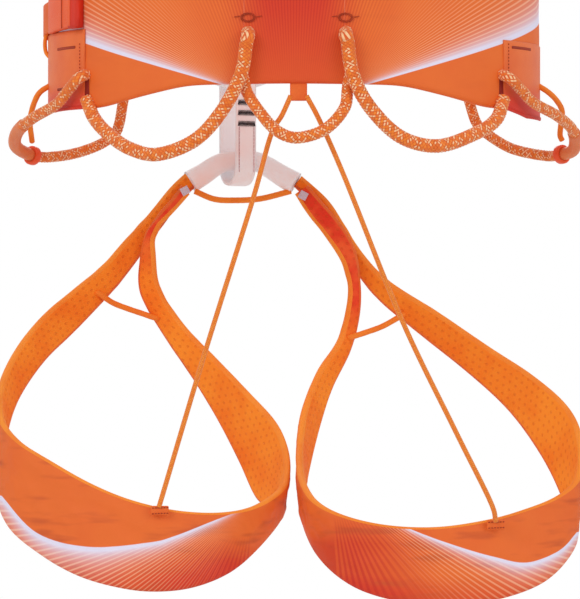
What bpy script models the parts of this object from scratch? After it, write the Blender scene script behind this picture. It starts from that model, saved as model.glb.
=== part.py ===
"""Climbing saddle: waist belt, belay loop, two leg loops, risers and gear loops.

Metres, +Z up, the front (belay loop) faces -Y, the wearer's left is +X. The origin is the
centre of the waist ring. The saddle is modelled in the shape that it has when it is worn.
"""
import math

import bmesh
import bpy
import numpy as np
from mathutils import Matrix, Vector

MM = 0.001

# Driving dimensions of the waist belt, in millimetres.
WAIST_HALF_WIDTH = 150.0
WAIST_HALF_DEPTH = 105.0
BELT_END_LEFT_DEG = -52.0
BELT_END_RIGHT_DEG = 232.0
BELT_STATIONS = 64
STRAP_WIDTH = 20.0
GAP = 0.4

# The strap's tail lies this far off the belt, from the buckle to the sleeve that keeps it.
TAIL_ENDS_DEG = (-44, 28)
TAIL_OUT = 2.2
TAIL_HALF_WIDTH = 9
KEEPER_ENDS_DEG = (16, 29)
KEEPER_HALF_HEIGHT = 11.0

# The buckle's two frames stand at this angle and mid-height.
BUCKLE_DEG = -49
BUCKLE_LEVEL = -16

# Layers of a padded band, outside to inside.
SHELL_THICK = 1.4
TAPE_THICK = 1.0
LINING_THICK = 1.6

# Cord diameters.
GEAR_CORD = 6.3
REAR_GEAR_CORD = 7.6
RISER_CORD = 2.6
ELASTIC_CORD = 3.6
BRIDGE_CORD = 3.8
SEPARATOR_CORD = 2.8
ARCH_TUBE = 14.0
UPPER_TUBE = 10.0

# Where the separator ring and the smooth sleeve sit on a front gear loop, in hundredths of its
# length from its rear end.
RING_PLACE = 61
SLEEVE_SPAN = {"left": [37, 41, 45, 49, 53, 57], "right": [43, 47, 50, 53, 57]}

# Lean of the patches that hold the risers' lower ends, in radians.
ANCHOR_TILT = 0.05

# The belay loop hangs at this point and is turned a little about the vertical.
BELAY_X = 36.5
BELAY_Y = -108.5
BELAY_TOP = -42.5
BELAY_PIVOT_Z = -34.0
BELAY_BOTTOM = -94.4
BELAY_RADIUS = 12.8
BELAY_WIDTH = 14.0
BELAY_THICK = 2.6
BELAY_TURN_DEG = -25.0
BAR_TACK = (12, 0.6, 3.4)
BAR_TACK_LEVELS = (-55.0, -61.7, -68.7)

# Edge pairs (upper, lower) of the left leg band, from the outer end at the tie-in, round
# the outside and the back of the thigh, up the inside to the inner end.
LEFT_LEG = [
    ((69, -107, -99), (62, -107, -108)),
    ((80, -106, -109), (73, -107, -118)),
    ((92, -106, -124), (84, -107, -133)),
    ((106, -100, -139), (97, -105, -149)),
    ((124, -86, -160), (113, -94, -171)),
    ((141, -71, -175), (127, -82, -187)),
    ((158, -55, -190), (144, -69, -205)),
    ((172, -34, -208), (160, -48, -222)),
    ((181, -10, -227), (174, -20, -245)),
    ((183, 14, -243), (180, 8, -268)),
    ((178, 34, -256), (182, 30, -295)),
    ((166, 51, -267), (173, 50, -318)),
    ((148, 64, -277), (152, 65, -334)),
    ((125, 76, -289), (130, 77, -345)),
    ((103, 83, -298), (108, 85, -351)),
    ((81, 86, -304), (85, 88, -354)),
    ((62, 84, -307), (60, 86, -352)),
    ((42, 76, -308), (37, 74, -344)),
    ((24, 62, -306), (21, 54, -332)),
    ((11, 44, -299), (11, 30, -319)),
    ((5, 22, -291), (9, 2, -312)),
    ((5, 0, -275), (22, -26, -308)),
    ((12, -20, -258), (34, -46, -284)),
    ((28, -40, -239), (46, -61, -258)),
    ((48, -60, -219), (62, -73, -233)),
    ((68, -73, -199), (83, -83, -203)),
    ((84, -82, -176), (98, -89, -177)),
    ((88, -91, -156), (98, -95, -157)),
    ((88, -95, -141), (96, -98, -143)),
    ((82, -98, -131), (88, -99, -128)),
    ((74, -99, -122), (78, -99, -116)),
    ((66, -99, -113), (72, -99, -107)),
]

# The same for the right leg band, which the belay point's sideways shift makes wider.
RIGHT_LEG = [
    ((-4, -107, -101), (1, -107, -108)),
    ((-22, -106, -117), (-15, -107, -124)),
    ((-34, -106, -135), (-27, -107, -141)),
    ((-46, -101, -153), (-40, -105, -162)),
    ((-64, -90, -171), (-56, -97, -182)),
    ((-92, -75, -189), (-82, -84, -204)),
    ((-125, -52, -212), (-112, -66, -228)),
    ((-150, -29, -229), (-137, -43, -252)),
    ((-170, -5, -248), (-155, -14, -279)),
    ((-177, 16, -267), (-166, 12, -303)),
    ((-174, 37, -288), (-172, 36, -325)),
    ((-160, 53, -299), (-163, 54, -340)),
    ((-140, 66, -306), (-146, 68, -352)),
    ((-116, 77, -312), (-118, 79, -360)),
    ((-85, 84, -316), (-85, 86, -362)),
    ((-55, 84, -315), (-57, 86, -359)),
    ((-29, 77, -310), (-32, 78, -351)),
    ((-12, 62, -303), (-14, 60, -337)),
    ((-4, 44, -294), (-5, 36, -320)),
    ((-1, 20, -284), (-3, 6, -306)),
    ((-1, -6, -270), (-5, -26, -292)),
    ((-4, -30, -250), (-12, -47, -266)),
    ((-14, -54, -226), (-21, -64, -240)),
    ((-26, -70, -209), (-34, -78, -215)),
    ((-32, -82, -190), (-41, -87, -192)),
    ((-34, -89, -174), (-42, -93, -171)),
    ((-29, -94, -156), (-40, -97, -153)),
    ((-18, -98, -139), (-32, -99, -136)),
    ((-8, -99, -126), (-21, -99, -122)),
    ((0, -99, -113), (-8, -99, -107)),
]

# Routes of the cords, chosen by hand along their real way.
GEAR_FRONT_LEFT = [(128, 64, -50), (135, 57, -57), (143, 48, -65), (158, 30, -72), (169, 10, -79),
                   (172, -9, -87), (164, -24, -92), (154, -34, -93), (138, -48, -90), (123, -58, -84),
                   (114, -64, -77), (111, -67, -70)]
GEAR_FRONT_RIGHT = [(-128, 64, -50), (-136, 56, -57), (-144, 47, -64), (-160, 28, -71), (-171, 8, -79),
                    (-173, -11, -89), (-165, -24, -92), (-156, -33, -92), (-137, -46, -87),
                    (-122, -58, -77), (-116, -65, -70)]
GEAR_REAR_LEFT = [(27, 109, -21), (28, 109, -34), (31, 109, -51), (42, 107, -72), (58, 103, -89),
                  (80, 96, -97), (97, 86, -93), (110, 75, -84), (119, 66, -74)]
GEAR_REAR_RIGHT = [(-30, 109, -21), (-31, 109, -32), (-34, 109, -51), (-44, 107, -70), (-62, 102, -87),
                   (-84, 94, -92), (-107, 80, -84), (-120, 69, -75)]
GEAR_REAR_CENTRE = [(28, 103, -60), (20, 107, -73), (10, 110, -84), (-2, 111, -88), (-18, 110, -83),
                    (-29, 107, -71), (-31, 103, -60)]
RISER_LEFT = [(3, 102, -68), (7, 101, -74), (14, 100, -87), (25, 98, -126), (52, 94, -212), (79, 90, -299)]
RISER_RIGHT = [(-8, 102, -68), (-15, 101, -78), (-30, 99, -112), (-63, 96, -194), (-94, 92, -258),
               (-115, 87, -300), (-118, 86, -308)]
ELASTIC_LEFT = [(124.4, -76.5, -178.3), (116, -80, -184), (106, -82.5, -188),
                (97, -81, -191), (88.4, -77.7, -193.8)]
ELASTIC_RIGHT = [(-36.5, -72.6, -205.9), (-46, -78, -203), (-57, -82, -199), (-69.4, -82.8, -192.1)]
BRIDGE = [(58, -101, -114), (52, -100, -117), (40, -99, -118), (22, -99, -117), (8, -101, -114)]
SEPARATOR_LEFT = [(155, 12, -55), (159, 8, -61), (162, 0, -69), (163, -9, -75), (163, -17, -80)]
SEPARATOR_RIGHT = [(-155, 12, -55), (-161, 6, -60), (-165, -2, -66), (-165, -11, -74), (-165, -17, -80)]
ARCH = [(59, -106, -101), (48, -108, -94), (36, -109, -92), (23, -108, -93), (8, -106, -101)]
UPPER_TIE = [(60, -100, -33), (50, -107, -38), (37, -109, -41), (24, -109, -39), (12, -105, -33)]


def clear_scene():
    for item in list(bpy.data.objects):
        bpy.data.objects.remove(item, do_unlink=True)


def smooth_points(points, steps):
    """Catmull-Rom curve through the points, with the given number of steps in each span."""
    p = np.array(points, dtype=float)
    p = np.vstack([2 * p[0] - p[1], p, 2 * p[-1] - p[-2]])
    out = []
    for i in range(1, len(p) - 2):
        for t in np.arange(steps) / steps:
            a = 2 * p[i]
            b = p[i + 1] - p[i - 1]
            c = 2 * p[i - 1] - 5 * p[i] + 4 * p[i + 1] - p[i + 2]
            d = -p[i - 1] + 3 * p[i] - 3 * p[i + 1] + p[i + 2]
            out.append(0.5 * (a + b * t + c * t ** 2 + d * t ** 3))
    out.append(p[-2])
    return np.array(out)


def even_points(points, count):
    """The smooth curve through the points, at evenly spaced places along its length."""
    fine = smooth_points(points, 16)
    along = np.concatenate([[0], np.cumsum(np.linalg.norm(np.diff(fine, axis=0), axis=1))])
    want = np.linspace(0, along[-1], count)
    return np.stack([np.interp(want, along, fine[:, k]) for k in range(3)], axis=1)


def unit(v):
    return v / np.linalg.norm(v)


def make_material(name, colour, roughness, metallic=0.0):
    material = bpy.data.materials.new(name)
    material.use_nodes = True
    shader = material.node_tree.nodes["Principled BSDF"]
    shader.inputs["Base Color"].default_value = (*colour, 1.0)
    shader.inputs["Roughness"].default_value = roughness
    shader.inputs["Metallic"].default_value = metallic
    material.diffuse_color = (*colour, 1.0)
    return material


def add_object(name, data, look, parent=None):
    item = bpy.data.objects.new(name, data)
    saddle.objects.link(item)
    material = make_material(name, *LOOKS[look])
    data.materials.append(material)
    if parent is not None:
        item.parent = parent
        item.matrix_parent_inverse = parent.matrix_world.inverted()
    return item


def add_pivot(name, place_mm):
    """An empty on a joint's axis; the moving pieces are its children."""
    pivot = bpy.data.objects.new(name, None)
    pivot.location = Vector(place_mm) * MM
    pivot.empty_display_size = 0.02
    saddle.objects.link(pivot)
    bpy.context.view_layer.update()
    return pivot


def sheet_mesh(name, rows, closed=False):
    """An open surface lofted through rows of points, given in millimetres."""
    mesh = bpy.data.meshes.new(name)
    bm = bmesh.new()
    grid = [[bm.verts.new(Vector(p) * MM) for p in row] for row in rows]
    last = len(grid) if closed else len(grid) - 1
    for i in range(last):
        near = grid[i]
        far = grid[(i + 1) % len(grid)]
        for j in range(len(near) - 1):
            bm.faces.new((near[j], near[j + 1], far[j + 1], far[j]))
    bm.normal_update()
    bm.to_mesh(mesh)
    bm.free()
    mesh.shade_smooth()
    return mesh


def add_layer(name, rows, thick, look, parent=None, closed=False):
    """A layer of cloth, webbing or foam: an open surface with a Solidify modifier."""
    item = add_object(name, sheet_mesh(name, rows, closed), look, parent)
    solid = item.modifiers.new("thickness", "SOLIDIFY")
    solid.thickness = thick * MM
    solid.offset = 0.0
    return item


def add_cord(name, points, diameter, count, look, parent=None):
    """A cord: a round tube with filled caps along a smooth route."""
    curve = bpy.data.curves.new(name, "CURVE")
    curve.dimensions = "3D"
    curve.bevel_depth = diameter * 0.5 * MM
    curve.bevel_resolution = 2
    curve.use_fill_caps = True
    spline = curve.splines.new("POLY")
    spline.points.add(count - 1)
    for point, place in zip(spline.points, even_points(points, count)):
        point.co = (*(place * MM), 1.0)
    return add_object(name, curve, look, parent)


def add_box(name, centre, size, look, turn=None, parent=None, bevel=0.0):
    """A box of the given size, in millimetres, turned about its centre."""
    mesh = bpy.data.meshes.new(name)
    bm = bmesh.new()
    bmesh.ops.create_cube(bm, size=1.0)
    bmesh.ops.scale(bm, vec=Vector(size) * MM, verts=bm.verts)
    bmesh.ops.transform(bm, matrix=turn or Matrix.Identity(4), verts=bm.verts)
    bmesh.ops.translate(bm, vec=Vector(centre) * MM, verts=bm.verts)
    bm.to_mesh(mesh)
    bm.free()
    item = add_object(name, mesh, look, parent)
    if bevel:
        edge = item.modifiers.new("edges", "BEVEL")
        edge.width = bevel * MM
        edge.segments = 1
    return item


def belt_point(angle_deg, height, out):
    """A point on the waist ring, moved outwards along the ring's normal."""
    a = math.radians(angle_deg)
    x = WAIST_HALF_WIDTH * math.cos(a)
    y = WAIST_HALF_DEPTH * math.sin(a)
    normal = unit(np.array([WAIST_HALF_DEPTH * math.cos(a), WAIST_HALF_WIDTH * math.sin(a)]))
    return (x + normal[0] * out, y + normal[1] * out, height)


def belt_turn(angle_deg):
    """The rotation that faces local +X outwards from the waist ring."""
    a = math.radians(angle_deg)
    heading = math.atan2(WAIST_HALF_WIDTH * math.sin(a), WAIST_HALF_DEPTH * math.cos(a))
    return Matrix.Rotation(heading, 4, "Z")


def belt_lower(angle_deg):
    """Height of the belt's lower edge: highest at the back and the front, lowest at the side."""
    from_back = abs(angle_deg - 90.0)
    return float(np.interp(from_back, [0, 25, 50, 85, 115, 142], [-56, -56.5, -68, -68, -54, -40]))


def belt_upper(angle_deg):
    """Height of the belt's upper edge: tallest at the back."""
    from_back = abs(angle_deg - 90.0)
    return float(np.interp(from_back, [0, 30, 60, 90, 115, 142], [44, 43, 36, 24, 12, 4]))


def belt_rows(start, stop, count, out, low, high, steps=1):
    rows = []
    for angle in np.linspace(start, stop, count):
        levels = np.linspace(high(angle), low(angle), steps + 1)
        rows.append([belt_point(angle, level, out) for level in levels])
    return rows


def band_rows(stations, steps, out, inset=0.0):
    """Rows across a leg band, moved outwards from the thigh and drawn in from its edges."""
    flat = [(*upper, *lower) for upper, lower in stations]
    pairs = smooth_six(flat, steps)
    upper = pairs[:, :3]
    lower = pairs[:, 3:]
    middle = (upper + lower) / 2
    along = np.gradient(middle, axis=0)
    across = upper - lower
    normal = np.cross(along, across)
    normal /= np.linalg.norm(normal, axis=1)[:, None]
    centre = middle.mean(axis=0)
    if np.einsum("ij,ij->i", normal, middle - centre).sum() < 0:
        normal = -normal
    width = np.linalg.norm(across, axis=1)[:, None]
    pull = across / width * inset
    return [[u, l] for u, l in zip(upper - pull + normal * out, lower + pull + normal * out)]


def smooth_six(points, steps):
    left = smooth_points([p[:3] for p in points], steps)
    right = smooth_points([p[3:] for p in points], steps)
    return np.hstack([left, right])


def belay_direction():
    a = math.radians(BELAY_TURN_DEG)
    apart = np.array([math.sin(a), math.cos(a), 0.0])
    across = np.array([math.cos(a), -math.sin(a), 0.0])
    return apart, across


def belay_path(radius, count):
    """A racetrack round the two tie-in points: two straight strands and two half circles."""
    apart, _ = belay_direction()
    centre = np.array([BELAY_X, BELAY_Y, 0.0])
    path = []
    for level, start in ((BELAY_TOP, 0.0), (BELAY_BOTTOM, math.pi)):
        for t in np.linspace(0, math.pi, count):
            turn = start + t
            rise = np.array([0, 0, level + radius * math.sin(turn)])
            path.append(centre + apart * radius * math.cos(turn) + rise)
    return path


def build_belt():
    shell_mid = -SHELL_THICK / 2
    tape_mid = -(SHELL_THICK + GAP + TAPE_THICK / 2)
    lining_mid = -(SHELL_THICK + 2 * GAP + TAPE_THICK + LINING_THICK / 2)
    ends = (BELT_END_LEFT_DEG, BELT_END_RIGHT_DEG)
    shell_rows = belt_rows(*ends, BELT_STATIONS, shell_mid, belt_lower, belt_upper)
    add_layer("belt_shell", shell_rows, SHELL_THICK, "orange")
    lining_rows = belt_rows(*ends, BELT_STATIONS, lining_mid, lambda a: belt_lower(a) + 1, belt_upper)
    add_layer("belt_lining", lining_rows, LINING_THICK, "lining")
    tape_rows = belt_rows(*ends, BELT_STATIONS, tape_mid, lambda a: -32.0, lambda a: -12.0)
    add_layer("belt_load_tape", tape_rows, TAPE_THICK, "webbing")
    strap_low = -26.0
    strap_high = strap_low + STRAP_WIDTH
    add_layer("waist_strap", belt_rows(-126, -54, 16, -2.0, lambda a: strap_low, lambda a: strap_high),
              1.8, "webbing")
    tail_rows = belt_rows(*TAIL_ENDS_DEG, 16, TAIL_OUT, lambda a: tail_level(a) - TAIL_HALF_WIDTH,
                          lambda a: tail_level(a) + TAIL_HALF_WIDTH)
    add_layer("waist_strap_tail", tail_rows, 1.6, "orange")
    add_cord("upper_tie_in", UPPER_TIE, UPPER_TUBE, 12, "webbing")
    for side, start, stop in (("left", 6, 34), ("right", 148, 176)):
        rows = belt_rows(start, stop, 10, 1.2, lambda a: belt_lower(a) + 1, lambda a: -27.0)
        add_layer(f"tool_patch_{side}", rows, 1.4, "orange")
    add_box("riser_tab", (-2.5, 101.0, -61.0), (9, 3.0, 9), "orange", bevel=0.6)
    add_cord("leg_bridge_cord", BRIDGE, BRIDGE_CORD, 10, "cord")


def tail_level(angle_deg):
    """Mid-height of the strap tail, which climbs a little from the buckle to the keeper."""
    return float(np.interp(angle_deg, [-44, 27], [BUCKLE_LEVEL, -9]))


def frame_plate(name, centre_deg, out, height, size, opening, thick, look, parent=None):
    """A flat metal frame with one opening, standing on the belt like a buckle."""
    width, tall = size
    gap_wide, gap_tall = opening
    item = add_box(name, (0, 0, 0), (thick, width, tall), look, parent=None)
    cutter = bpy.data.objects.new(name + "_cutter", bpy.data.meshes.new(name + "_cutter"))
    bm = bmesh.new()
    bmesh.ops.create_cube(bm, size=1.0)
    bmesh.ops.scale(bm, vec=Vector((thick * 3, gap_wide, gap_tall)) * MM, verts=bm.verts)
    bm.to_mesh(cutter.data)
    bm.free()
    cutters.objects.link(cutter)
    cutter.hide_render = True
    cutter.display_type = "WIRE"
    place = Matrix.Translation(Vector(belt_point(centre_deg, height, out)) * MM) @ belt_turn(centre_deg)
    item.matrix_world = place
    cutter.matrix_world = place
    cut = item.modifiers.new("opening", "BOOLEAN")
    cut.operation = "DIFFERENCE"
    cut.solver = "EXACT"
    cut.object = cutter
    if parent is not None:
        item.parent = parent
        item.matrix_parent_inverse = parent.matrix_world.inverted()
    return item


def build_buckle():
    frame_plate("buckle_base_frame", BUCKLE_DEG, 3.6, BUCKLE_LEVEL, (18, 30), (9, 21), 2.0, "metal")
    pivot = add_pivot("buckle_pivot", belt_point(BUCKLE_DEG, BUCKLE_LEVEL, 6.4))
    frame_plate("buckle_front_frame", BUCKLE_DEG, 6.6, BUCKLE_LEVEL, (14, 27), (6, 20), 1.8, "metal", pivot)


def build_keeper():
    """The sleeve that holds the strap's tail: a band folded round it, open at both ends."""
    pivot = add_pivot("keeper_slide", belt_point(np.mean(KEEPER_ENDS_DEG), -9, TAIL_OUT))
    rows = []
    for angle in np.linspace(*KEEPER_ENDS_DEG, 6):
        low = tail_level(angle) - KEEPER_HALF_HEIGHT
        high = tail_level(angle) + KEEPER_HALF_HEIGHT
        corners = ((high, 0.7), (low, 0.7), (low - 0.6, 2.2), (low, 3.8), (high, 3.8), (high + 0.6, 2.2))
        rows.append([belt_point(angle, z, out) for z, out in corners])
    mesh = ring_mesh("strap_keeper", rows)
    item = add_object("strap_keeper", mesh, "red_orange", pivot)
    solid = item.modifiers.new("thickness", "SOLIDIFY")
    solid.thickness = 0.7 * MM
    solid.offset = 0.0
    return item


def ring_mesh(name, rows):
    """An open-ended tube lofted through rings of points."""
    mesh = bpy.data.meshes.new(name)
    bm = bmesh.new()
    grid = [[bm.verts.new(Vector(p) * MM) for p in row] for row in rows]
    for near, far in zip(grid[:-1], grid[1:]):
        for j in range(len(near)):
            k = (j + 1) % len(near)
            bm.faces.new((near[j], near[k], far[k], far[j]))
    bm.normal_update()
    bm.to_mesh(mesh)
    bm.free()
    return mesh


def build_belay():
    pivot = add_pivot("belay_pivot", (BELAY_X, BELAY_Y, BELAY_PIVOT_Z))
    _, across = belay_direction()
    half = across * BELAY_WIDTH / 2
    rows = [[p + half, p - half] for p in belay_path(BELAY_RADIUS, 9)]
    add_layer("belay_loop_webbing", rows, BELAY_THICK, "white", pivot, closed=True)
    turn = Matrix.Rotation(-math.radians(BELAY_TURN_DEG), 4, "Z")
    apart, _ = belay_direction()
    outside = np.array([BELAY_X, BELAY_Y, 0]) + apart * (BELAY_RADIUS + BELAY_THICK / 2 + 0.7)
    for number, level in enumerate(BAR_TACK_LEVELS, 1):
        place = (outside[0], outside[1], level)
        add_box(f"belay_bar_tack_{number}", place, BAR_TACK, "black", turn, pivot)
    add_cord("lower_tie_in_arch", ARCH, ARCH_TUBE, 12, "white", pivot)


def build_leg(side, stations, anchor, riser, elastic, end, label):
    pivot = add_pivot(f"{side}_leg_pivot", end)
    tape_depth = SHELL_THICK / 2 + GAP + TAPE_THICK / 2
    lining_depth = tape_depth + TAPE_THICK / 2 + GAP + LINING_THICK / 2
    layers = (("shell", 0.0, SHELL_THICK, 0.0, "orange"),
              ("load_tape", tape_depth, TAPE_THICK, 0.5, "webbing"),
              ("lining", lining_depth, LINING_THICK, 0.5, "lining"))
    for part, depth, thick, inset, look in layers:
        rows = band_rows(stations, 3, -depth, inset)
        add_layer(f"{side}_leg_{part}", rows, thick, look, pivot)
    tilt = Matrix.Rotation(ANCHOR_TILT, 4, "X")
    add_box(f"{side}_riser_anchor", anchor, (10, 1.6, 6), "orange", tilt, pivot, 0.4)
    add_cord(f"{side}_riser_cord", riser, RISER_CORD, 40, "cord", pivot)
    add_cord(f"{side}_elastic_cord", elastic, ELASTIC_CORD, 10, "cord", pivot)
    add_box(f"{side}_end_label", label, (7, 0.8, 6), "label", None, pivot)


def build_gear_loops():
    loops = (("gear_loop_front_left", GEAR_FRONT_LEFT, GEAR_CORD, 34),
             ("gear_loop_front_right", GEAR_FRONT_RIGHT, GEAR_CORD, 34),
             ("gear_loop_rear_left", GEAR_REAR_LEFT, REAR_GEAR_CORD, 30),
             ("gear_loop_rear_right", GEAR_REAR_RIGHT, REAR_GEAR_CORD, 30),
             ("gear_loop_rear_centre", GEAR_REAR_CENTRE, GEAR_CORD, 22))
    for name, route, diameter, count in loops:
        ends = (np.array(route[0]) + np.array(route[-1])) / 2
        pivot = add_pivot(name + "_pivot", ends)
        add_cord(name, route, diameter, count, "cord", pivot)
        if "front" in name:
            add_trim(name, route, pivot)


def hollow_tube(name, centres, inner, outer, look, parent):
    """A short open-ended tube round a cord."""
    sides = 10
    rings = []
    for i, centre in enumerate(centres):
        along = unit(centres[min(i + 1, len(centres) - 1)] - centres[max(i - 1, 0)])
        first = unit(np.cross(along, (0.0, 0.3, 1.0)))
        second = np.cross(along, first)
        rings.append([centre + (first * math.cos(a) + second * math.sin(a)) * (inner + outer) / 2
                      for a in np.linspace(0, 2 * math.pi, sides, endpoint=False)])
    item = add_object(name, ring_mesh(name, rings), look, parent)
    solid = item.modifiers.new("thickness", "SOLIDIFY")
    solid.thickness = (outer - inner) * MM
    solid.offset = 0.0
    return item


def add_trim(name, route, pivot):
    """The separator ring and the smooth sleeve on a front gear loop, and the separator's cord."""
    side = name.split("_")[-1]
    fine = even_points(route, 101)
    sleeve = fine[SLEEVE_SPAN[side]]
    inner = GEAR_CORD / 2 + 0.7
    hollow_tube(f"gear_sleeve_{side}", sleeve, inner, inner + 0.9, "cord", pivot)
    ring_pivot = add_pivot(f"separator_ring_{side}_pivot", fine[RING_PLACE])
    ring_line = fine[[RING_PLACE - 1, RING_PLACE + 1]]
    hollow_tube(f"separator_ring_{side}", ring_line, inner, inner + 2.0, "red_orange", ring_pivot)
    cord = SEPARATOR_LEFT if side == "left" else SEPARATOR_RIGHT
    add_cord(f"separator_cord_{side}", cord, SEPARATOR_CORD, 12, "cord", ring_pivot)


LOOKS = {
    "orange": ((0.80, 0.19, 0.035), 0.62),
    "lining": ((0.86, 0.21, 0.02), 0.80),
    "webbing": ((0.80, 0.76, 0.80), 0.70),
    "white": ((0.86, 0.81, 0.86), 0.60),
    "cord": ((0.80, 0.20, 0.025), 0.60),
    "red_orange": ((0.78, 0.10, 0.03), 0.45),
    "black": ((0.03, 0.012, 0.02), 0.75),
    "label": ((0.62, 0.60, 0.70), 0.60),
    "metal": ((0.55, 0.56, 0.58), 0.30, 1.0),
}

clear_scene()
saddle = bpy.data.collections.new("climbing_saddle")
bpy.context.scene.collection.children.link(saddle)
cutters = bpy.data.collections.new("cutters")
bpy.context.scene.collection.children.link(cutters)

build_belt()
build_buckle()
build_keeper()
build_belay()
build_leg("left", LEFT_LEG, (79, 89.3, -306), RISER_LEFT, ELASTIC_LEFT,
          end=(66, -105, -105), label=(70, -93.6, -110))
build_leg("right", RIGHT_LEG, (-119, 80.5, -315), RISER_RIGHT, ELASTIC_RIGHT,
          end=(-3, -105, -106), label=(-6, -93.6, -113))
build_gear_loops()
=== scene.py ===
"""Looks of the climbing saddle: cloth, webbing, braided cord and stitching on the fixed frame."""
import math

import bmesh
import bpy
import numpy as np
from mathutils import Matrix, Vector, noise


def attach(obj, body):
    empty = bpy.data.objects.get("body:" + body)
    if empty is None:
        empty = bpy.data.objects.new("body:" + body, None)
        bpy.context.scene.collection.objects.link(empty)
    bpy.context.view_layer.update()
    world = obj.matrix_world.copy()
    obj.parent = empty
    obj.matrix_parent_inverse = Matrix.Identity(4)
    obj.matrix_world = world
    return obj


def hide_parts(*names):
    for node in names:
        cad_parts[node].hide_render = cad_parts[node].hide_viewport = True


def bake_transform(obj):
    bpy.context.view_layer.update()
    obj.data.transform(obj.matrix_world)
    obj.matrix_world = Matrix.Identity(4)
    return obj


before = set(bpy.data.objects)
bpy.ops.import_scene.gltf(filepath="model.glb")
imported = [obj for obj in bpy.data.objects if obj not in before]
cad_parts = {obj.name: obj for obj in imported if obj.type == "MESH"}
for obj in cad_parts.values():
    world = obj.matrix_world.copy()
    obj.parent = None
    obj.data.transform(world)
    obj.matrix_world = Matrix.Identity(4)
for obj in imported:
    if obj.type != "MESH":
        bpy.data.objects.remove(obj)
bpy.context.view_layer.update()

MM = 0.001
# How bright the room round the saddle is; the backdrop itself stays white.
AMBIENT = 0.7
FLOOR_LEVEL = -0.52
FLOOR_RADIUS = 1.1

# Pitch of the cloths' threads, in metres.
FINE_WEAVE = 0.0009
TIGHT_WEAVE = 0.0006

# The belt, the leg bands and the belay loop, in millimetres and degrees, as on the frame.
WAIST_HALF_WIDTH = 150.0
WAIST_HALF_DEPTH = 105.0
BELT_ENDS = (-52.0, 232.0)
BELT_THICK = 5.0
LEG_THICK = 4.6
BELAY_X = 36.5
BELAY_Y = -108.5
BELAY_TOP = -42.5
BELAY_BOTTOM = -94.4
BELAY_RADIUS = 12.8
BELAY_WIDTH = 14.0
BELAY_THICK = 2.6
BELAY_TURN_DEG = -25.0
BAR_TACK_LEVELS = (-55.0, -61.7, -68.7)

# The buckle's angle and mid-height, and the strap's tail from the buckle to the keeper.
BUCKLE_DEG = -49
BUCKLE_LEVEL = -16.0
TAIL_OUT = 2.2
TAIL_HALF_WIDTH = 9

# Places on a front gear loop, in hundredths of its length from its rear end.
RING_PLACE = 61
SLEEVE_START = {"left": 34, "right": 43}

# Braids: the number of strands that run each way, and the length of one turn in millimetres.
THICK_STRANDS = (8, 17.0)
THIN_STRANDS = (6, 9.0)
SMOOTH_STRANDS = (6, 4.0)
TUBE_STRANDS = (10, 8.0)

# ---------------------------------------------------------------- camera, light and floor


def make_camera():
    """Level camera behind the saddle, as far away as a studio shot of it would be."""
    data = bpy.data.cameras.new("camera")
    data.sensor_width = 36.0
    frame_side = 0.36839
    distance = 2.0
    data.lens = data.sensor_width * distance / frame_side
    camera = bpy.data.objects.new("camera", data)
    camera.location = (0.0025, distance, -0.182)
    camera.rotation_euler = (math.radians(90), 0, math.radians(180))
    bpy.context.scene.collection.objects.link(camera)
    bpy.context.scene.camera = camera


def make_light(name, place, size, power, aim=(0, 0, -0.18)):
    """A square soft light, turned to the saddle's middle."""
    data = bpy.data.lights.new(name, "AREA")
    data.size = size
    data.energy = power
    light = bpy.data.objects.new(name, data)
    light.location = place
    light.rotation_euler = (Vector(place) - Vector(aim)).to_track_quat("Z", "Y").to_euler()
    bpy.context.scene.collection.objects.link(light)


def make_studio():
    """White backdrop, dimmer surroundings, three soft lights and a pale floor disc."""
    world = bpy.data.worlds.new("studio")
    bpy.context.scene.world = world
    world.use_nodes = True
    background = world.node_tree.nodes["Background"]
    background.inputs["Color"].default_value = (1.0, 1.0, 1.0, 1.0)
    ray = world.node_tree.nodes.new("ShaderNodeLightPath")
    strength = world.node_tree.nodes.new("ShaderNodeMapRange")
    strength.inputs["To Min"].default_value = AMBIENT
    strength.inputs["To Max"].default_value = 1.0
    world.node_tree.links.new(ray.outputs["Is Camera Ray"], strength.inputs["Value"])
    world.node_tree.links.new(strength.outputs["Result"], background.inputs["Strength"])
    make_light("back_left_softbox", (1.6, 1.9, 1.1), 1.2, 15)
    make_light("back_right_softbox", (-1.7, 1.6, 0.8), 1.2, 10)
    make_light("front_softbox", (0.3, -2.2, 1.0), 1.4, 12)
    scene = bpy.context.scene
    scene.view_settings.view_transform = "Standard"
    bpy.ops.mesh.primitive_circle_add(vertices=96, radius=FLOOR_RADIUS, fill_type="NGON",
                                      location=(0, 0, FLOOR_LEVEL))
    floor = bpy.context.object
    floor.name = "studio_floor"
    material = bpy.data.materials.new("studio_floor")
    material.use_nodes = True
    shader = material.node_tree.nodes["Principled BSDF"]
    shader.inputs["Base Color"].default_value = (0.86, 0.86, 0.86, 1.0)
    shader.inputs["Roughness"].default_value = 0.9
    floor.data.materials.append(material)


make_camera()
make_studio()

# ---------------------------------------------------------------- small geometry helpers


def smooth_points(points, steps):
    """Catmull-Rom curve through the points, with the given number of steps in each span."""
    p = np.array(points, dtype=float)
    p = np.vstack([2 * p[0] - p[1], p, 2 * p[-1] - p[-2]])
    out = []
    for i in range(1, len(p) - 2):
        for t in np.arange(steps) / steps:
            a = 2 * p[i]
            b = p[i + 1] - p[i - 1]
            c = 2 * p[i - 1] - 5 * p[i] + 4 * p[i + 1] - p[i + 2]
            d = -p[i - 1] + 3 * p[i] - 3 * p[i + 1] + p[i + 2]
            out.append(0.5 * (a + b * t + c * t ** 2 + d * t ** 3))
    out.append(p[-2])
    return np.array(out)


def lengths_along(points):
    """Distance along a line of points, up to each of them."""
    return np.concatenate([[0], np.cumsum(np.linalg.norm(np.diff(points, axis=0), axis=1))])


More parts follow.
